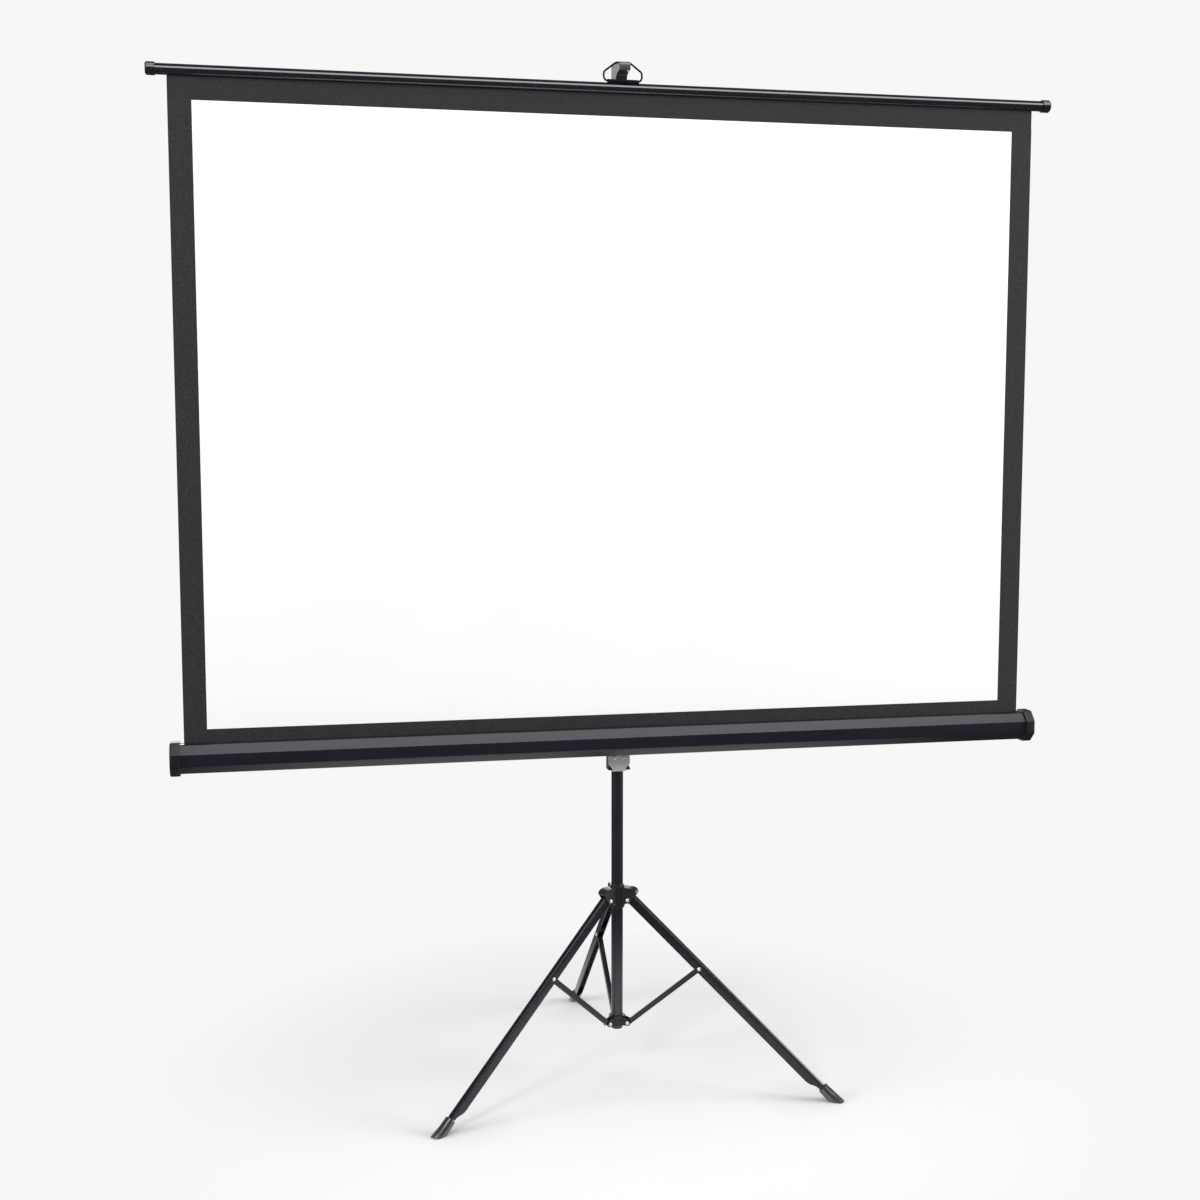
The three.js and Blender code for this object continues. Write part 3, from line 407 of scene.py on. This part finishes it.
# Cloth wound on the roller: dull black with a fine uneven weave
def weaveBlack():
    look = {
        "deep": (0.018, 0.018, 0.0185),
        "pale": (0.036, 0.036, 0.0365),
        "thread": 1400,
        "threadStretch": 0.12,
        "weaveShare": 0.8,
        "cloud": 14,
        "cloudShare": 0.2,
        "rough": 0.8,
        "weaveRough": 0.15,
        "bump": (0.3, 0.0004),
    }
    cloth = Finish("black_cloth", look["deep"])
    weave = cloth.weave(look["thread"], look["threadStretch"])
    cloud = cloth.noise(look["cloud"], detail=3)
    paler = weave * look["weaveShare"] + cloud * look["cloudShare"]
    cloth.set(Base_Color=cloth.mix(paler, look["deep"], look["pale"]))
    cloth.set(Roughness=weave * look["weaveRough"] + look["rough"])
    cloth.bump(weave, *look["bump"])
    return cloth.material


# Felt pile along the case's slot: dull, with short upright hairs
def pileFelt():
    look = {
        "deep": (0.012, 0.012, 0.012),
        "pale": (0.04, 0.04, 0.041),
        "rough": 1.0,
        "hair": 2600,
        "hairStretch": (1, 1, 0.2),
        "bump": (0.6, 0.0006),
    }
    pile = Finish("slot_felt", look["deep"])
    hair = pile.noise(look["hair"], detail=2, stretch=look["hairStretch"])
    pile.set(Base_Color=pile.mix(hair, look["deep"], look["pale"]), Roughness=look["rough"])
    pile.bump(hair, *look["bump"])
    return pile.material


# Screen: white beaded picture area, black printed border round it, black cloth behind
def coatScreen(picture, front):
    look = {
        "white": (0.97, 0.97, 0.97),
        "shade": (0.94, 0.94, 0.945),
        "cloud": 6,
        "bead": 2200,
        "beadShare": 0.4,
        "smoother": 0.08,  # how much less rough the picture area is
    }
    edge = {
        "deep": (0.0075, 0.0075, 0.0078),
        "pale": (0.0245, 0.0245, 0.025),
        "thread": 1400,
        "threadStretch": 0.12,
        "weaveShare": 0.4,
        "grain": 340,
        "grainEdge": 0.7,
        "grainShare": 3.5,
        "darker": 1.45,  # keeps the pale specks apart
        "rough": 0.95,
        "weaveRough": 0.1,
        "bump": (0.3, 0.0004),
    }
    screen = Finish("screen_cloth", look["white"])
    across = abs(screen.axis("X")) < picture["halfWidth"]
    above = screen.axis("Z") > picture["bottom"]
    below = screen.axis("Z") < picture["top"]
    onFront = screen.axis("Y") < front
    inside = across * above * below * onFront
    weave = screen.weave(edge["thread"], edge["threadStretch"])
    grain = screen.noise(edge["grain"], detail=3, rough=edge["grainEdge"])
    bead = screen.noise(look["bead"], detail=2)
    cloud = screen.noise(look["cloud"], detail=2)
    specks = grain * edge["grainShare"] + weave * edge["weaveShare"] - edge["darker"]
    black = screen.mix(specks, edge["deep"], edge["pale"])
    white = screen.mix(cloud, look["white"], look["shade"])
    screen.set(Base_Color=screen.mix(inside, black, white))
    screen.set(Roughness=edge["rough"] - inside * look["smoother"] - weave * edge["weaveRough"])
    height = weave * (1.0 - inside) + bead * inside * look["beadShare"]
    screen.bump(height, *edge["bump"])
    return screen.material


finishes = {
    "case_paint": paintCase(),
    "black_tube": paintTube(),
    "slat": paintSlat(),
    "black_leg": paintLeg(),
    "boot_rubber": mouldRubber(),
    "bright_steel": plateZinc(),
    "rivet": rivetSteel(),
    "plain_steel": bareSteel(),
    "black_fabric": weaveBlack(),
    "felt": pileFelt(),
}
finishes.update({key: mouldNylon(**nylon) for key, nylon in nylons.items()})
print("finishes made:", len(finishes))

edges = {
    "weld": 0.00001,
    "rows": 2,
    "softFrom": 38,  # degrees at which an edge is softened
    "crispFrom": 40,  # degrees at which an edge stays sharp
}


# Every node takes its slot's finish or a special one and is welded; the listed nodes get softened edges, the rest
# crisp ones
def dressNodes():
    special = {
        "slat_tube": "slat",
        "bail": "bail_wire",
        "bail_saddle": "bail_wire",
        "viewing_surface": "black_fabric",
    }
    special.update({f"slat_cap_{side}": "gloss_cap" for side in endSides})
    softened = {
        "hook": 0.0018,
        "carriage_block": 0.0006,
        "bracket_plate": 0.0004,
        "brake_lever": 0.0005,
        "lower_collar": 0.0005,
        "leg_hub": 0.0005,
        "lock_knob": 0.0006,
        "lock_collar": 0.0004,
    }
    softened.update({f"case_cap_{side}": 0.0008 for side in endSides})
    softened.update({f"boot_{side}": 0.0015 for side in legSides})
    slots = {part["node"]: part["material_slot"] for part in frame["record"]["subparts"]}
    for name, node in nodes.items():
        key = special.get(name, slots[name])
        if "rivet" in name:
            key = "rivet"
        for materialSlot in node.material_slots:
            materialSlot.material = finishes[key]
        node.data.shade_smooth()
        weld = node.modifiers.new("weld", "WELD")
        weld.merge_threshold = edges["weld"]
        if name in softened:
            bevel = node.modifiers.new("soft edge", "BEVEL")
            bevel.width = softened[name]
            bevel.segments = edges["rows"]
            bevel.limit_method = "ANGLE"
            bevel.angle_limit = math.radians(edges["softFrom"])
        else:
            split = node.modifiers.new("crisp edge", "EDGE_SPLIT")
            split.split_angle = math.radians(edges["crispFrom"])
        flat = node.modifiers.new("flat faces", "WEIGHTED_NORMAL")
        flat.mode = "FACE_AREA_WITH_ANGLE"


dressNodes()
print("nodes dressed")


def deselect():
    if bpy.context.object and bpy.context.object.mode != "OBJECT":
        bpy.ops.object.mode_set(mode="OBJECT")
    bpy.ops.object.select_all(action="DESELECT")


def pick(piece):
    deselect()
    piece.select_set(True)
    bpy.context.view_layer.objects.active = piece


def settle(piece):
    pick(piece)
    bpy.ops.object.transform_apply(location=True, rotation=True, scale=True)


def applyAll(piece):
    pick(piece)
    for modifier in list(piece.modifiers):
        bpy.ops.object.modifier_apply(modifier=modifier.name)


def finishPiece(piece, name, material, body):
    piece.name = name
    piece.data.name = name
    piece.data.materials.clear()
    piece.data.materials.append(material)
    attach(piece, body)


# An upright sheet as a grid of cells with a thin wall
def uprightSheet(low, high, depth, cells, thick):
    deselect()
    middle = [(a + b) / 2 for a, b in zip(low, high)]
    bpy.ops.mesh.primitive_grid_add(
        x_subdivisions=cells[0], y_subdivisions=cells[1], size=1, rotation=(math.pi / 2, 0, 0)
    )
    piece = bpy.context.object
    piece.scale = (high[0] - low[0], high[1] - low[1], 1)
    piece.location = (middle[0], depth, middle[1])
    settle(piece)
    wall = piece.modifiers.new("wall", "SOLIDIFY")
    wall.thickness = thick
    wall.offset = 0
    applyAll(piece)
    return piece


fabric = {
    "thick": 0.0009,
    "frontShare": 0.1,  # the front coat starts this share of the thickness before the middle
    "cells": (90, 66),
    "ripple": 0.0003,  # how far the stretched cloth wanders from its plane
    "waves": (2.0, 5.0),  # radians per metre, across and up
    "bandHeight": 0.038,  # top strip that goes with the slat
    "bandCells": (90, 4),
    "bandBack": 0.0011,
    "tuck": 0.011,  # strip behind the sheet, so that a lifted bail shows no gap
}


# The sheet goes with the case's carriage and is not made to shrink into the case as it rises; the strip under the
# slat goes with the slat
def makeFabric():
    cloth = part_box("screen_fabric")
    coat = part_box("viewing_surface")
    plane = (cloth[0].y + cloth[1].y) / 2
    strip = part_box("slat_tube")[0].z - fabric["bandHeight"]
    height = strip - cloth[0].z
    picture = {"halfWidth": coat[1].x, "bottom": coat[0].z, "top": coat[1].z}
    material = coatScreen(picture, plane - fabric["thick"] * fabric["frontShare"])

    sheetLow = (cloth[0].x, cloth[0].z)
    sheetHigh = (cloth[1].x, strip)
    sheet = uprightSheet(sheetLow, sheetHigh, plane, fabric["cells"], fabric["thick"])
    acrossWaves, upWaves = fabric["waves"]
    for point in sheet.data.vertices:
        x, y, z = point.co
        rise = (z - cloth[0].z) / height
        slack = math.sin(math.pi * rise) * abs(x) / cloth[1].x
        point.co.y = y + fabric["ripple"] * slack * math.sin(upWaves * z + acrossWaves * x)
    finishPiece(sheet, "screen_sheet", material, "carriage")

    # The case rises and the slat comes down by the same travel; the share of the sheet that would be left at full
    # travel is worked out here but not used
    slide = next(joint for joint in frame["joints"] if joint["name"] == "case_slide")
    travel = slide["range_m"][1]
    (height - 2 * travel) / height
    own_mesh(sheet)

    bandLow = (cloth[0].x, strip - fabric["tuck"])
    bandHigh = (cloth[1].x, cloth[1].z)
    band = uprightSheet(bandLow, bandHigh, plane + fabric["bandBack"], fabric["bandCells"], fabric["thick"])
    finishPiece(band, "screen_band", material, "slat")
    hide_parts("screen_fabric", "viewing_surface")


makeFabric()
print("fabric stretched")

felt = {
    "thick": 0.0007,
    "tall": 0.0042,
    "top": 0.0006,  # below the case's top
    "slotHalf": 0.0025,
    "seat": 0.0001,  # gap to the slot's wall
    "soft": 0.0002,
    "rows": 3,
}


# Two strips of felt line the slot, so that the cloth runs in without rubbing on the metal
def makeFelt():
    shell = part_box("case_shell")
    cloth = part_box("screen_fabric")
    plane = (cloth[0].y + cloth[1].y) / 2
    away = felt["slotHalf"] - felt["seat"] - felt["thick"] / 2
    for name, side in (("front", -1), ("back", 1)):
        deselect()
        bpy.ops.mesh.primitive_cube_add(size=1)
        strip = bpy.context.object
        strip.scale = (cloth[1].x - cloth[0].x, felt["thick"], felt["tall"])
        strip.location = (0, plane + side * away, shell[1].z - felt["top"] - felt["tall"] / 2)
        settle(strip)
        bpy.ops.object.mode_set(mode="EDIT")
        bpy.ops.mesh.select_all(action="SELECT")
        bpy.ops.mesh.bevel(offset=felt["soft"], segments=felt["rows"])
        bpy.ops.object.mode_set(mode="OBJECT")
        strip.data.shade_smooth()
        finishPiece(strip, f"slot_felt_{name}", finishes["felt"], "carriage")


makeFelt()

insert = {
    "radius": 0.005,
    "rise": 0.0011,
    "sides": 40,
    "seat": 0.00005,  # gap to the knob's face
    "facing": 0.9,  # least part of a normal along Y on the outer face
    "rim": 0.0014,
    "dip": 0.0006,
    "soft": 0.0002,
    "rows": 2,
    "smoothTo": 35,  # degrees
}


# Steel insert in the clamp knob's face: a turned disc with a raised rim
def makeInsert():
    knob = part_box("lock_knob")
    deselect()
    middle = knob[1].y + insert["seat"] + insert["rise"] / 2
    bpy.ops.mesh.primitive_cylinder_add(
        vertices=insert["sides"],
        radius=insert["radius"],
        depth=insert["rise"],
        location=((knob[0].x + knob[1].x) / 2, middle, (knob[0].z + knob[1].z) / 2),
        rotation=(-math.pi / 2, 0, 0),
    )
    disc = bpy.context.object
    settle(disc)
    for face in disc.data.polygons:
        face.select = face.normal.y > insert["facing"]
    bpy.ops.object.mode_set(mode="EDIT")
    bpy.ops.mesh.select_mode(type="FACE")
    bpy.ops.mesh.inset(thickness=insert["rim"])
    bpy.ops.mesh.extrude_region_move(TRANSFORM_OT_translate={"value": (0, -insert["dip"], 0)})
    bpy.ops.object.mode_set(mode="OBJECT")
    edge = disc.modifiers.new("turned edge", "BEVEL")
    edge.width = insert["soft"]
    edge.segments = insert["rows"]
    applyAll(disc)
    pick(disc)
    bpy.ops.object.shade_smooth_by_angle(angle=math.radians(insert["smoothTo"]))
    finishPiece(disc, "knob_insert", finishes["rivet"], "knob")


makeInsert()
print("felt and knob insert added")

stage = {
    "floorSize": 60.0,
    "floorRough": 0.9,
    "pale": 0.93,  # brightness of floor and surround
    "floorTone": 0.9,  # share of the floor that takes light and shadow
    "floorGlow": 0.42,
    "shadowReach": (0.55, 1.05),  # where that share fades out
    "contact": 0.12,  # reach of the painted contact shadow where a boot stands
    "ambient": 0.12,
    "unlit": 0.1,  # far floor as the glossy paint sees it, as in a dark studio
}


# Pale floor: lit and shaded by the lamps near the boots, with a painted contact shadow darkening its glow there,
# and an even glow further out
def makeFloor():
    deselect()
    bpy.ops.mesh.primitive_plane_add(size=stage["floorSize"])
    floor = bpy.context.object
    floor.name = "floor"
    ground = Finish("floor_card", grey(stage["floorTone"]))
    ground.set(Roughness=stage["floorRough"], Specular_IOR_Level=0.0, Emission_Strength=1.0)
    away = ground.node("ShaderNodeVectorMath", {"operation": "LENGTH"}, "Value", Vector=ground.place)
    near, far = stage["shadowReach"]
    fade = ground.node("ShaderNodeMapRange", Value=away, From_Min=near, From_Max=far)
    ground.set(Base_Color=ground.mix(fade, grey(stage["floorTone"]), grey(0.0)))
    seenByEye = ground.node("ShaderNodeLightPath", out="Is Camera Ray")
    farGlow = ground.mix(seenByEye, grey(stage["unlit"]), grey(stage["pale"]))
    # Painted shadow: ambient occlusion, squared, darkens the floor's glow where a boot or leg stands close
    paintedContactShade = ground.node("ShaderNodeAmbientOcclusion", out="AO", Distance=stage["contact"])
    nearGlow = ground.mix(paintedContactShade * paintedContactShade, grey(0.0), grey(stage["floorGlow"]))
    ground.set(Emission_Color=ground.mix(fade, nearGlow, farGlow))
    floor.data.materials.append(ground.material)
    return floor


# The surround is pale to the camera and dim as a light
def makeSurround():
    world = bpy.data.worlds.new("surround")
    world.use_nodes = True
    bpy.context.scene.world = world
    tree = world.node_tree
    backdrop = tree.nodes["Background"]
    backdrop.inputs["Color"].default_value = (*grey(stage["pale"]), 1)
    dim = tree.nodes.new("ShaderNodeBackground")
    dim.inputs["Color"].default_value = (1, 1, 1, 1)
    dim.inputs["Strength"].default_value = stage["ambient"]
    seen = tree.nodes.new("ShaderNodeLightPath")
    blend = tree.nodes.new("ShaderNodeMixShader")
    tree.links.new(seen.outputs["Is Camera Ray"], blend.inputs["Fac"])
    tree.links.new(dim.outputs[0], blend.inputs[1])
    tree.links.new(backdrop.outputs[0], blend.inputs[2])
    tree.links.new(blend.outputs[0], tree.nodes["World Output"].inputs["Surface"])


# A lamp lights all but what it skips: the floor, to keep the screen's broad shade off it, or the slat,
# to keep its highlight thin
lamps = {
    "front": {
        "place": (0.7, -2.9, 4.3),
        "aim": (0.5, 0, 1.6),
        "size": (5.0, 2.2),
        "power": 130,
        "skips": ("floor",),
    },
    "top": {
        "place": (0.9, -0.7, 4.6),
        "aim": (0.9, -0.7, 0),
        "size": (4.8, 1.3),
        "power": 50,
        "skips": ("floor", "slat_tube"),
    },
    "left": {
        "place": (-5.0, -1.6, 1.6),
        "aim": (0, 0, 0.9),
        "size": (2.4, 3.0),
        "power": 138,
        "skips": (),
    },
    "right": {
        "place": (5.0, -1.6, 1.6),
        "aim": (0, 0, 0.9),
        "size": (2.4, 3.0),
        "power": 230,
        "skips": (),
    },
    "key": {
        "place": (-3.0, -3.6, 3.2),
        "aim": (0, 0, 1.1),
        "size": (0.9, 0.9),
        "power": 50,
        "skips": (),
    },
    "rear": {
        "place": (-0.8, 4.2, 1.25),
        "aim": (0, 0, 1.1),
        "size": (4.2, 1.8),
        "power": 110,
        "skips": ("floor",),
    },
    "rim": {  # along the right leg's upper edge
        "place": (4.2, 3.2, 0.7),
        "aim": (0.2, 0, 0.4),
        "size": (2.4, 1.4),
        "power": 28,
        "skips": ("floor",),
    },
    "flank": {  # on the hook's left side
        "place": (-1.0, 4.2, 3.0),
        "aim": (0, 0, 2.1),
        "size": (0.9, 0.7),
        "power": 1.6,
        "skips": ("floor", "slat_tube", "slat_cap_left", "bail", "bail_saddle"),
    },
}


def makeLamps(floor):
    for name, lamp in lamps.items():
        light = bpy.data.lights.new(name, "AREA")
        light.shape = "RECTANGLE"
        light.energy = lamp["power"]
        light.size, light.size_y = lamp["size"]
        holder = bpy.data.objects.new(name, light)
        holder.location = lamp["place"]
        toward = Vector(lamp["aim"]) - Vector(lamp["place"])
        holder.rotation_euler = toward.to_track_quat("-Z", "Y").to_euler()
        bpy.context.scene.collection.objects.link(holder)
        if lamp["skips"]:
            skipped = bpy.data.collections.new(f"{name} skips")
            for piece in lamp["skips"]:
                skipped.objects.link(floor if piece == "floor" else nodes[piece])
            for entry in skipped.collection_objects:
                entry.light_linking.link_state = "EXCLUDE"
            holder.light_linking.receiver_collection = skipped


floorPlane = makeFloor()
makeSurround()
makeLamps(floorPlane)

camera = {
    "place": (-0.7647, -3.4222, 1.4081),
    "turn": 11.993,  # degrees to the right
    "tilt": -6.019,  # degrees, minus is down
    "lens": 50.0,
    "sensor": 36.0,
}


def makeCamera():
    eye = bpy.data.cameras.new("camera")
    eye.lens = camera["lens"]
    eye.sensor_width = camera["sensor"]
    holder = bpy.data.objects.new("camera", eye)
    holder.location = camera["place"]
    holder.rotation_euler = (math.radians(90 + camera["tilt"]), 0, math.radians(-camera["turn"]))
    bpy.context.scene.collection.objects.link(holder)
    bpy.context.scene.camera = holder
    bpy.context.scene.view_settings.view_transform = "Standard"


makeCamera()
print("stage, lights and camera set")
